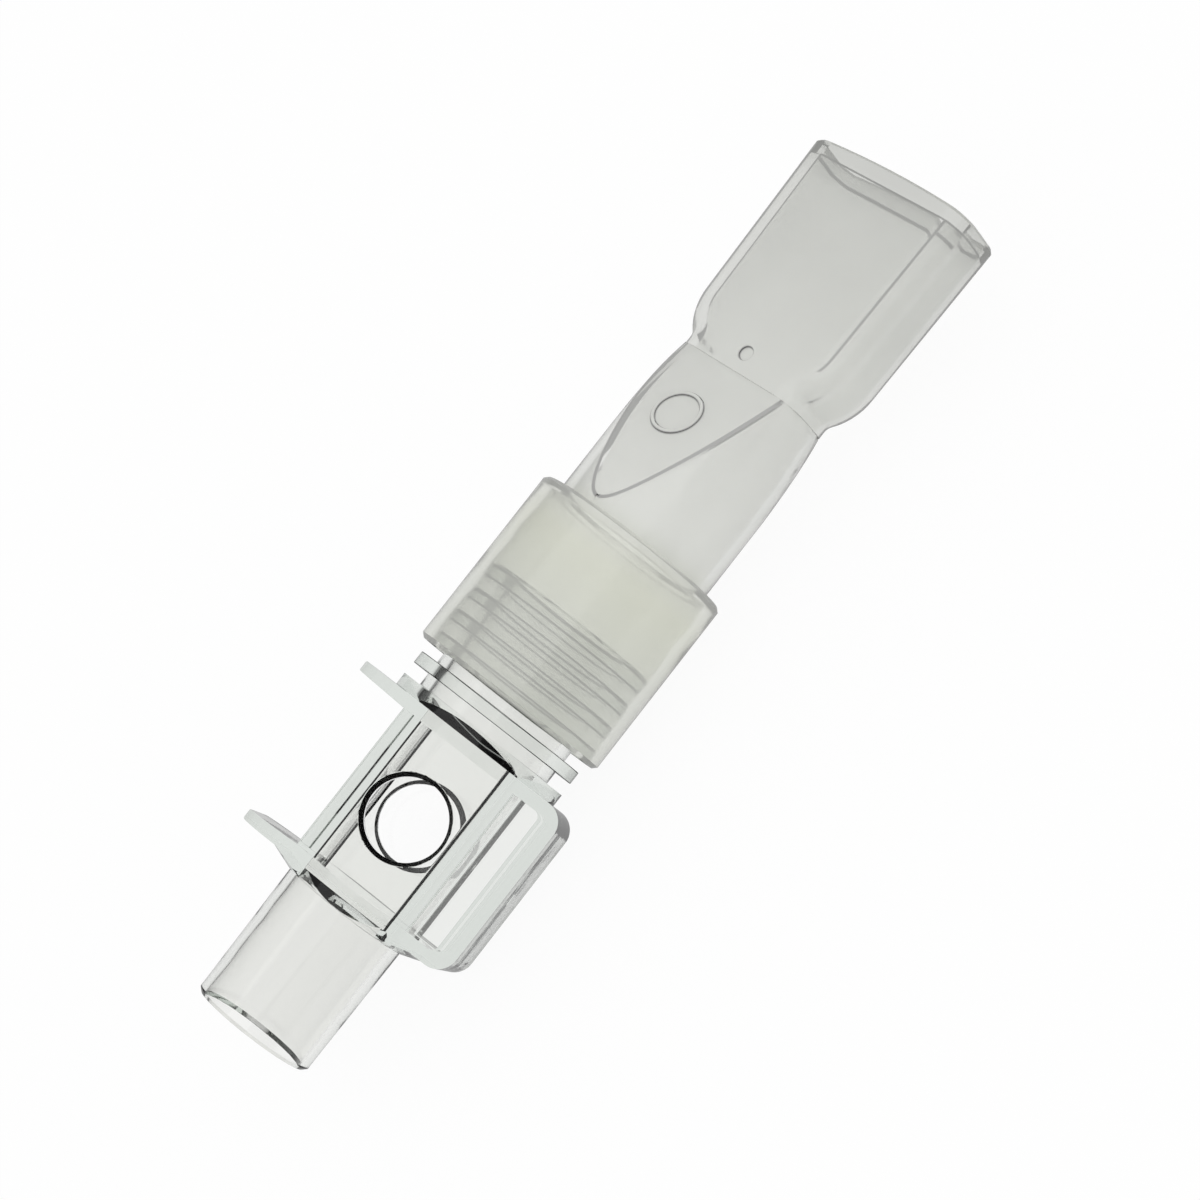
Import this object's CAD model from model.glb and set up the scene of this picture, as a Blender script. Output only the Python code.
import math

import bmesh
import bpy
from mathutils import Matrix, Vector


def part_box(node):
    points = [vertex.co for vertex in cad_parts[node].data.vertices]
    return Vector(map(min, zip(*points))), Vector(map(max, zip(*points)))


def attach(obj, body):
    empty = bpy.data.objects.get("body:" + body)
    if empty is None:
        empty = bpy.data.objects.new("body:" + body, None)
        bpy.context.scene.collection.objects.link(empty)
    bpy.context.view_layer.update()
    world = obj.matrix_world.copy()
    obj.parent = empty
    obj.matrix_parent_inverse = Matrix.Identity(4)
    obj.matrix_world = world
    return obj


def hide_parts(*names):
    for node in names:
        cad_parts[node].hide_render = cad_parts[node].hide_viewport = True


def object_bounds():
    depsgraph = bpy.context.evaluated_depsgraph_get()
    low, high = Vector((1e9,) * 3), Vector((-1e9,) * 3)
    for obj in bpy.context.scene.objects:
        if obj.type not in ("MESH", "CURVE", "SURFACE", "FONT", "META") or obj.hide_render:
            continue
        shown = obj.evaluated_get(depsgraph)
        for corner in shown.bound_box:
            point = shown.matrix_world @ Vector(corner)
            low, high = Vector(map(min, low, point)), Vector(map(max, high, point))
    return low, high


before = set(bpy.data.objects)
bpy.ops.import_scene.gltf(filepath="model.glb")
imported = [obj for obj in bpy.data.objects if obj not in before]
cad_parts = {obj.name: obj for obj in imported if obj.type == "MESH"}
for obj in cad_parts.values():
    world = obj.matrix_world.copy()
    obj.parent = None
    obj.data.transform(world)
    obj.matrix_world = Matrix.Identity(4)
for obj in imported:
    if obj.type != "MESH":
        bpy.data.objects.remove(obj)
cad_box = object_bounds()
bpy.ops.object.select_all(action="DESELECT")


# Camera: it looks down on the lying adapter from the side of the skirt, square to the windows
# but for a few degrees, and is turned so that the long axis climbs to the upper right.
camera_beside = Vector((0.0415, 0.0, 0.0))
camera_distance = 0.350
camera_elevation = math.radians(51.3)
camera_lens, camera_sensor = 93.0, 36.0
image_centre = Vector((0.0620, -0.0008, -0.0007))
axis_climb = math.radians(52.0)

stand = camera_beside + camera_distance * Vector(
    (0.0, -math.cos(camera_elevation), math.sin(camera_elevation)))
ahead = (image_centre - stand).normalized()
along = (Vector((1.0, 0.0, 0.0)) - ahead * ahead.x).normalized()
turned = Matrix((along, along.cross(ahead), -ahead)).transposed().to_euler()
turned.rotate_axis("Z", -axis_climb)
bpy.ops.object.camera_add(location=stand, rotation=turned)
camera = bpy.context.object
camera.name = "camera"
camera.data.sensor_width = camera_sensor
camera.data.lens = camera_lens
bpy.context.scene.camera = camera


# Floor: a plain white table top. What looks at it straight or through the clear plastic sees
# white, and it keeps a faint shadow of the parts. What the plastic bends far aside or mirrors
# sees it darker, as the table is lit only round the parts.
def combine_rays(tree, how, first, second):
    """Two ray switches or strengths made into one; the second may be a plain number."""
    node = tree.nodes.new("ShaderNodeMath")
    node.operation = how
    tree.links.new(first, node.inputs[0])
    if isinstance(second, float):
        node.inputs[1].default_value = second
    else:
        tree.links.new(second, node.inputs[1])
    return node.outputs[0]


def fade(tree, value, at_low, at_high, low=0.0, high=1.0, smooth=False):
    """A value that fades from at_low to at_high, while what it follows goes from low to high."""
    node = tree.nodes.new("ShaderNodeMapRange")
    node.interpolation_type = "SMOOTHSTEP" if smooth else "LINEAR"
    node.inputs["From Min"].default_value = low
    node.inputs["From Max"].default_value = high
    node.inputs["To Min"].default_value = at_low
    node.inputs["To Max"].default_value = at_high
    tree.links.new(value, node.inputs["Value"])
    return node.outputs["Result"]


def lay_over(tree, share, under, over):
    """One finish or light laid over another by a share from 0 to 1."""
    node = tree.nodes.new("ShaderNodeMixShader")
    tree.links.new(share, node.inputs["Fac"])
    tree.links.new(under, node.inputs[1])
    tree.links.new(over, node.inputs[2])
    return node.outputs["Shader"]


lit_within, dark_beyond = 0.07, 0.30
far_floor_strength = 0.22
mirrored_floor_strength = 0.45
white_share = 0.93

bpy.ops.mesh.primitive_plane_add(size=6.0, location=(0.06, 0.0, cad_box[0][2]))
floor = bpy.context.object
floor.name = "floor"
floor_white = bpy.data.materials.new("floor_white")
floor_white.use_nodes = True
tree = floor_white.node_tree
tree.nodes.clear()
rays = tree.nodes.new("ShaderNodeLightPath").outputs
matt = tree.nodes.new("ShaderNodeBsdfDiffuse")
matt.inputs["Color"].default_value = (0.9, 0.9, 0.9, 1.0)
spot = tree.nodes.new("ShaderNodeTexCoord")
from_middle = tree.nodes.new("ShaderNodeVectorMath")
from_middle.operation = "LENGTH"
tree.links.new(spot.outputs["Object"], from_middle.inputs[0])
lit = fade(tree, from_middle.outputs["Value"], 1.0, far_floor_strength,
           lit_within, dark_beyond, smooth=True)
direct = combine_rays(tree, "MAXIMUM", lit, rays["Is Camera Ray"])
# A ray that goes through plastic counts as glossy too, so it is taken off what is mirrored.
mirrored = combine_rays(tree, "SUBTRACT", rays["Is Glossy Ray"], rays["Is Transmission Ray"])
strength = combine_rays(tree, "MULTIPLY", direct,
                        fade(tree, mirrored, 1.0, mirrored_floor_strength))
white = tree.nodes.new("ShaderNodeEmission")
white.inputs["Color"].default_value = (1.0, 1.0, 1.0, 1.0)
tree.links.new(strength, white.inputs["Strength"])
seen = combine_rays(tree, "MAXIMUM", rays["Is Camera Ray"], rays["Is Transmission Ray"])
seen_or_mirrored = combine_rays(tree, "MAXIMUM", seen, rays["Is Glossy Ray"])
share = combine_rays(tree, "MULTIPLY", seen_or_mirrored, white_share)
output = tree.nodes.new("ShaderNodeOutputMaterial")
tree.links.new(lay_over(tree, share, matt.outputs["BSDF"], white.outputs["Emission"]),
               output.inputs["Surface"])
floor.data.materials.append(floor_white)


# Light: an even pale room that the camera sees as white, and one wide soft lamp above. What
# refracts the room sees it with dark, streaked walls, which draw the crisp edge lines in the
# clear plastic, and what mirrors it sees it dimmed.
wall_greys = ((0.0, 0.14), (0.40, 0.22), (0.95, 1.0))
streak_scale, streak_grey = 7.0, 0.45
mirrored_room_strength = 0.4
pale_grey = 0.85

studio = bpy.data.worlds.new("studio")
studio.use_nodes = True
bpy.context.scene.world = studio
tree = studio.node_tree
tree.nodes.clear()
rays = tree.nodes.new("ShaderNodeLightPath").outputs
facing = tree.nodes.new("ShaderNodeTexCoord")
height = tree.nodes.new("ShaderNodeSeparateXYZ")
tree.links.new(facing.outputs["Generated"], height.inputs["Vector"])
walls = tree.nodes.new("ShaderNodeValToRGB")
walls.color_ramp.elements.new(wall_greys[1][0])
for stop, (up, grey) in zip(walls.color_ramp.elements, wall_greys):
    stop.position = up
    stop.color = (grey, grey, grey, 1.0)
tree.links.new(height.outputs["Z"], walls.inputs["Fac"])
streaks = tree.nodes.new("ShaderNodeTexNoise")
streaks.inputs["Scale"].default_value = streak_scale
streaks.inputs["Detail"].default_value = 3.0
tree.links.new(facing.outputs["Generated"], streaks.inputs["Vector"])
streaked = tree.nodes.new("ShaderNodeVectorMath")
streaked.operation = "MAXIMUM"
tree.links.new(walls.outputs["Color"], streaked.inputs[0])
tree.links.new(fade(tree, streaks.outputs["Fac"], 0.0, streak_grey, 0.42, 0.62),
               streaked.inputs[1])
dark_room = tree.nodes.new("ShaderNodeBackground")
tree.links.new(streaked.outputs["Vector"], dark_room.inputs["Color"])
tree.links.new(fade(tree, rays["Is Glossy Ray"], 1.0, mirrored_room_strength),
               dark_room.inputs["Strength"])
pale_room = tree.nodes.new("ShaderNodeBackground")
pale_room.inputs["Color"].default_value = (pale_grey, pale_grey, pale_grey, 1.0)
backdrop = tree.nodes.new("ShaderNodeBackground")
backdrop.inputs["Color"].default_value = (1.0, 1.0, 1.0, 1.0)
room = lay_over(tree, rays["Is Diffuse Ray"],
                dark_room.outputs["Background"], pale_room.outputs["Background"])
output = tree.nodes.new("ShaderNodeOutputWorld")
tree.links.new(lay_over(tree, rays["Is Camera Ray"], room, backdrop.outputs["Background"]),
               output.inputs["Surface"])

bpy.ops.object.light_add(type="AREA", location=(0.35, -0.15, 0.9))
lamp = bpy.context.object
lamp.name = "soft_lamp"
lamp.data.shape = "DISK"
lamp.data.size = 1.4
lamp.data.energy = 2.5
lamp_aim = Vector((0.06, 0.0, 0.0))
lamp.rotation_euler = (lamp_aim - lamp.location).to_track_quat("-Z", "Y").to_euler()


# Clear adapter: hard clear plastic, moulded in one piece, with the tube, the two plates and
# their fins, the block, the skirt and the ribbed port. Its solid has the right shape, so it is
# copied with smooth walls, and its fine edges are broken here.
def smooth_copy(node, name, sharp_from):
    """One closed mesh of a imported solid, with smooth round walls and crisp edges."""
    piece = bpy.data.objects.new(name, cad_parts[node].data.copy())
    bpy.context.scene.collection.objects.link(piece)
    bpy.ops.object.select_all(action="DESELECT")
    piece.select_set(True)
    bpy.context.view_layer.objects.active = piece
    bpy.ops.mesh.customdata_custom_splitnormals_clear()
    bpy.ops.object.mode_set(mode="EDIT")
    bpy.ops.mesh.select_all(action="SELECT")
    bpy.ops.mesh.remove_doubles(threshold=1e-6)
    bpy.ops.object.mode_set(mode="OBJECT")
    bpy.ops.object.shade_smooth_by_angle(angle=math.radians(sharp_from))
    bpy.ops.object.modifier_add(type="WEIGHTED_NORMAL")
    piece.modifiers[0].keep_sharp = True
    bpy.ops.object.modifier_apply(modifier=piece.modifiers[0].name)
    piece.data.materials.clear()
    return piece


def let_lamps_through(finish, tint):
    """The lamps reach through the plastic, so that its own shadow doesn't darken it."""
    tree = finish.node_tree
    rays = tree.nodes.new("ShaderNodeLightPath")
    passed = tree.nodes.new("ShaderNodeBsdfTransparent")
    passed.inputs["Color"].default_value = tint
    plastic = tree.nodes["Principled BSDF"]
    tree.links.new(lay_over(tree, rays.outputs["Is Shadow Ray"],
                            plastic.outputs["BSDF"], passed.outputs["BSDF"]),
                   tree.nodes["Material Output"].inputs["Surface"])


def tint_by_depth(finish, tint, density):
    """The plastic darkens with the length of the way that light takes through it."""
    tree = finish.node_tree
    depth = tree.nodes.new("ShaderNodeVolumeAbsorption")
    depth.inputs["Color"].default_value = tint
    depth.inputs["Density"].default_value = density
    tree.links.new(depth.outputs["Volume"], tree.nodes["Material Output"].inputs["Volume"])


def clear_finish(name, tint, roughness, ripple, index):
    """Clear moulded plastic, with a faint flow ripple on its skin."""
    finish = bpy.data.materials.new(name)
    finish.use_nodes = True
    tree = finish.node_tree
    plastic = tree.nodes["Principled BSDF"]
    plastic.inputs["Base Color"].default_value = tint
    plastic.inputs["Roughness"].default_value = roughness
    plastic.inputs["IOR"].default_value = index
    plastic.inputs["Transmission Weight"].default_value = 1.0
    spot = tree.nodes.new("ShaderNodeTexCoord")
    flow = tree.nodes.new("ShaderNodeTexNoise")
    flow.inputs["Scale"].default_value = 180.0
    flow.inputs["Detail"].default_value = 1.0
    tree.links.new(spot.outputs["Object"], flow.inputs["Vector"])
    bump = tree.nodes.new("ShaderNodeBump")
    bump.inputs["Strength"].default_value = 1.0
    bump.inputs["Distance"].default_value = ripple
    tree.links.new(flow.outputs["Fac"], bump.inputs["Height"])
    tree.links.new(bump.outputs["Normal"], plastic.inputs["Normal"])
    let_lamps_through(finish, (0.93, 0.94, 0.93, 1.0))
    return finish


def edge_finish(name, grey, roughness):
    """A dark matt finish for a narrow bevel that shows as a line in the clear plastic."""
    finish = bpy.data.materials.new(name)
    finish.use_nodes = True
    plastic = finish.node_tree.nodes["Principled BSDF"]
    plastic.inputs["Base Color"].default_value = (grey, grey, grey, 1.0)
    plastic.inputs["Roughness"].default_value = roughness
    plastic.inputs["Specular IOR Level"].default_value = 0.1
    return finish


def break_edges(piece, width, slot, is_broken):
    """Bevel the edges that is_broken picks, and give the new faces the finish in that slot."""
    bpy.ops.object.select_all(action="DESELECT")
    piece.select_set(True)
    bpy.context.view_layer.objects.active = piece
    bpy.ops.object.mode_set(mode="EDIT")
    bpy.ops.mesh.select_mode(type="EDGE")
    bpy.ops.mesh.select_all(action="DESELECT")
    shape = bmesh.from_edit_mesh(piece.data)
    for edge in shape.edges:
        if is_broken(edge):
            edge.select_set(True)
    bpy.ops.mesh.bevel(offset=width, segments=1, profile=0.0, affect="EDGES", material=slot,
                       loop_slide=False)
    bpy.ops.object.mode_set(mode="OBJECT")


def middle_of(edge):
    """The point halfway along an edge."""
    return (edge.verts[0].co + edge.verts[1].co) / 2


adapter = smooth_copy("adapter_body", "clear_adapter", 25)
clear_hard = clear_finish("clear_hard_plastic", (0.93, 0.93, 0.915, 1.0), 0.015, 0.00002, 1.5)
tint_by_depth(clear_hard, (0.76, 0.80, 0.775, 1.0), 85.0)
adapter.data.materials.append(clear_hard)
adapter.data.materials.append(edge_finish("bevel_dark", 0.003, 0.4))
adapter.data.materials.append(edge_finish("ring_edge", 0.05, 0.5))
dark_slot, ring_slot = 1, 2

# The bevel round each window mirrors its dark surroundings all round, on the front one only
# on its inner part, below bevel_out.
panes = [(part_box(node)[0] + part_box(node)[1]) / 2 for node in ("window_front", "window_back")]
square = (panes[0] - panes[1]).normalized()
middle = (panes[0] + panes[1]) / 2
pane_r = max((vertex.co - panes[0]).cross(square).length
             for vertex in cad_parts["window_front"].data.vertices)
bevel_in, bevel_out = 0.0052, 0.0060
bpy.ops.object.mode_set(mode="EDIT")
bpy.ops.mesh.select_mode(type="FACE")
bpy.ops.mesh.select_all(action="DESELECT")
shape = bmesh.from_edit_mesh(adapter.data)
for face in shape.faces:
    offset = face.calc_center_median() - middle
    out = offset.dot(square)
    reach = (offset - square * out).length
    if (abs(out) > bevel_in and pane_r - 0.0001 < reach < pane_r + 0.0007
            and 0.3 < abs(face.normal.dot(square)) < 0.8):
        face.material_index = dark_slot
        face.select_set(out > 0)
bpy.ops.mesh.bisect(plane_co=middle + square * bevel_out, plane_no=square, threshold=0.0)
bpy.ops.object.mode_set(mode="OBJECT")
for face in adapter.data.polygons:
    if face.material_index == dark_slot and (face.center - middle).dot(square) > bevel_out:
        face.material_index = 0

# The corners of the gas channel draw fine dark lines along the block.
channel_deep, channel_high, channel_long = (0.0037, 0.0043), (0.0052, 0.0058), 0.0095
upright = square.cross(Vector((1.0, 0.0, 0.0)))
for face in adapter.data.polygons:
    offset = face.center - middle
    if (channel_deep[0] < abs(offset.dot(square)) < channel_deep[1]
            and channel_high[0] < abs(offset.dot(upright)) < channel_high[1]
            and abs(offset.x) < channel_long and abs(face.normal.x) < 0.05
            and 0.4 < abs(face.normal.dot(square)) < 0.92):
        face.material_index = dark_slot

# The rings of the port have fine broken edges, which show as grey lines through the collar.
# Those that the collar leaves free are finer.
rings_from, collar_from, ring_r = 0.0425, 0.046, 0.0109
covered_width, free_width = 0.00022, 0.00007


def on_ring(edge):
    """An outer corner of a ring: one face squarely across the axis, one along it."""
    spot = middle_of(edge)
    sides = sorted(abs(face.normal.x) for face in edge.link_faces)
    return (spot.x > rings_from and spot.yz.length > ring_r
            and sides[0] < 0.1 and sides[1] > 0.99)


break_edges(adapter, covered_width, ring_slot,
            lambda edge: on_ring(edge) and edge.verts[0].co.x > collar_from)
break_edges(adapter, free_width, ring_slot,
            lambda edge: on_ring(edge) and edge.verts[0].co.x < collar_from)
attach(adapter, "adapter")
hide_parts("adapter_body")


# Windows: two thin discs of clear film, flat and without ripple. Each is set in its bevelled
# hole in the block, so that a gas sensor can look straight through both.
clear_film = clear_finish("clear_film", (1.0, 1.0, 1.0, 1.0), 0.0, 0.0, 1.2)
for side in ("front", "back"):
    pane = smooth_copy("window_" + side, "pane_" + side, 25)
    pane.data.materials.append(clear_film)
    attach(pane, "adapter")
    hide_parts("window_" + side)


# Mouthpiece: soft milky plastic, hollow and moulded in one piece, from the round collar
# through the facetted neck to the flat head. It is pushed over the ribbed port, and its
# colour drifts along its length with the thickness of the wall.
mouthpiece = smooth_copy("mouthpiece", "soft_mouthpiece", 15)
collar_x, tip_x = (corner.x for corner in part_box("mouthpiece"))
milky_drift = ((0.12, (0.87, 0.88, 0.83)), (0.25, (0.89, 0.90, 0.82)),
               (0.34, (0.92, 0.925, 0.90)), (0.58, (0.88, 0.885, 0.86)),
               (0.93, (0.80, 0.805, 0.78)), (0.98, (0.68, 0.685, 0.66)))
front_skin_share = 0.55

milky = bpy.data.materials.new("milky_plastic")
milky.use_nodes = True
tree = milky.node_tree
plastic = tree.nodes["Principled BSDF"]
plastic.inputs["Roughness"].default_value = 0.05
plastic.inputs["IOR"].default_value = 1.45
spot = tree.nodes.new("ShaderNodeTexCoord")
lengthwise = tree.nodes.new("ShaderNodeSeparateXYZ")
tree.links.new(spot.outputs["Object"], lengthwise.inputs["Vector"])
drift = tree.nodes.new("ShaderNodeValToRGB")
for place, colour in milky_drift:
    drift.color_ramp.elements.new(place).color = (*colour, 1.0)
drift.color_ramp.elements.remove(drift.color_ramp.elements[-1])
drift.color_ramp.elements.remove(drift.color_ramp.elements[0])
tree.links.new(fade(tree, lengthwise.outputs["X"], 0.0, 1.0, collar_x, tip_x),
               drift.inputs["Fac"])
cloud = tree.nodes.new("ShaderNodeTexNoise")
cloud.inputs["Scale"].default_value = 90.0
cloud.inputs["Detail"].default_value = 3.0
tree.links.new(spot.outputs["Object"], cloud.inputs["Vector"])
clouded = tree.nodes.new("ShaderNodeVectorMath")
clouded.operation = "SCALE"
tree.links.new(drift.outputs["Color"], clouded.inputs[0])
tree.links.new(fade(tree, cloud.outputs["Fac"], 0.96, 1.04), clouded.inputs["Scale"])
tree.links.new(clouded.outputs["Vector"], plastic.inputs["Base Color"])
# Light goes in through a milky skin and comes out through a clear one.
skin = tree.nodes.new("ShaderNodeNewGeometry")
tree.links.new(fade(tree, skin.outputs["Backfacing"], front_skin_share, 1.0),
               plastic.inputs["Transmission Weight"])
let_lamps_through(milky, (0.85, 0.86, 0.84, 1.0))
mouthpiece.data.materials.append(milky)

# Corners of the soft plastic, where it is thicker, show as grey lines.
for name, grey in (("milky_thick", 0.40), ("milky_inner_line", 0.10)):
    line = milky.copy()
    line.name = name
    line_plastic = line.node_tree.nodes["Principled BSDF"]
    line.node_tree.links.remove(line_plastic.inputs["Transmission Weight"].links[0])
    line_plastic.inputs["Transmission Weight"].default_value = 0.0
    for stop in line.node_tree.nodes[drift.name].color_ramp.elements:
        stop.color = (grey, grey, 0.98 * grey, 1.0)
    mouthpiece.data.materials.append(line)
thick_slot, inner_slot = 1, 2
tint_by_depth(milky, (0.70, 0.70, 0.69, 1.0), 200.0)

facet_from, facet_to = 0.0703, 0.0913
oval_ring, oval_ring_r = Vector((0.0835, 0.0004)), 0.0034
ejector, ejector_r = Vector((0.0938, 0.0)), 0.0013
socket_end_from, socket_end_to, socket_r = 0.0682, 0.0685, 0.0115
head_from, head_half_width = 0.0965, 0.0085
lip_x = tip_x - 0.002
facet_width, mark_width, head_width = 0.00022, 0.00008, 0.00015


def on_facet(edge):
    """The outline of the upper facet of the neck."""
    spot = middle_of(edge)
    flats = [face for face in edge.link_faces
             if abs(face.normal.y) < 0.02 and abs(face.normal.z) > 0.8]
    return (len(flats) == 1 and flats[0].normal.z > 0.0 and spot.z > 0.0
            and facet_from < spot.x < facet_to and 0.1 < edge.calc_face_angle() < 1.3)


def on_mark(edge):
    """The top edges of the raised oval ring and of the ejector mark."""
    spot = middle_of(edge)
    return (spot.z > 0.0045 and edge.calc_face_angle() > 1.2
            and ((spot.xy - oval_ring).length < oval_ring_r
                 or (spot.xy - ejector).length < ejector_r))


def in_head(edge):
    """The inner lip, and the two inner corners along the upper side of the head."""
    spot = middle_of(edge)
    if abs(spot.x - lip_x) < 0.00005 and edge.calc_face_angle() > 1.2:
        return True
    return (head_from < spot.x < lip_x - 0.0001 and edge.calc_face_angle() > 0.6
            and 0.0015 < spot.z < 0.0040
            and (spot.y > head_half_width or (spot.y < -head_half_width and spot.z > 0.0036)))


break_edges(mouthpiece, facet_width, thick_slot, on_facet)
break_edges(mouthpiece, mark_width, thick_slot, on_mark)
break_edges(mouthpiece, head_width, inner_slot, in_head)

# The end wall inside the collar, the step inside the lip, and the walls of the two marks are
# seen edge on, and show as darker lines too.
for face in mouthpiece.data.polygons:
    spot = face.center
    across, upright_wall = abs(face.normal.x) > 0.99, abs(face.normal.z) < 0.5
    if ((across and socket_end_from < spot.x < socket_end_to and spot.yz.length < socket_r)
            or (across and lip_x - 0.0004 < spot.x < lip_x + 0.0003)
            or (upright_wall and (spot.xy - oval_ring).length < oval_ring_r and spot.z > 0.0055)
            or (upright_wall and (spot.xy - ejector).length < 0.0014 and spot.z > 0.0045)):
        face.material_index = inner_slot
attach(mouthpiece, "mouthpiece")
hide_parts("mouthpiece")


# The view is taken in plain colours, and the sizes of both models are written down.
bpy.context.scene.view_settings.view_transform = "Standard"
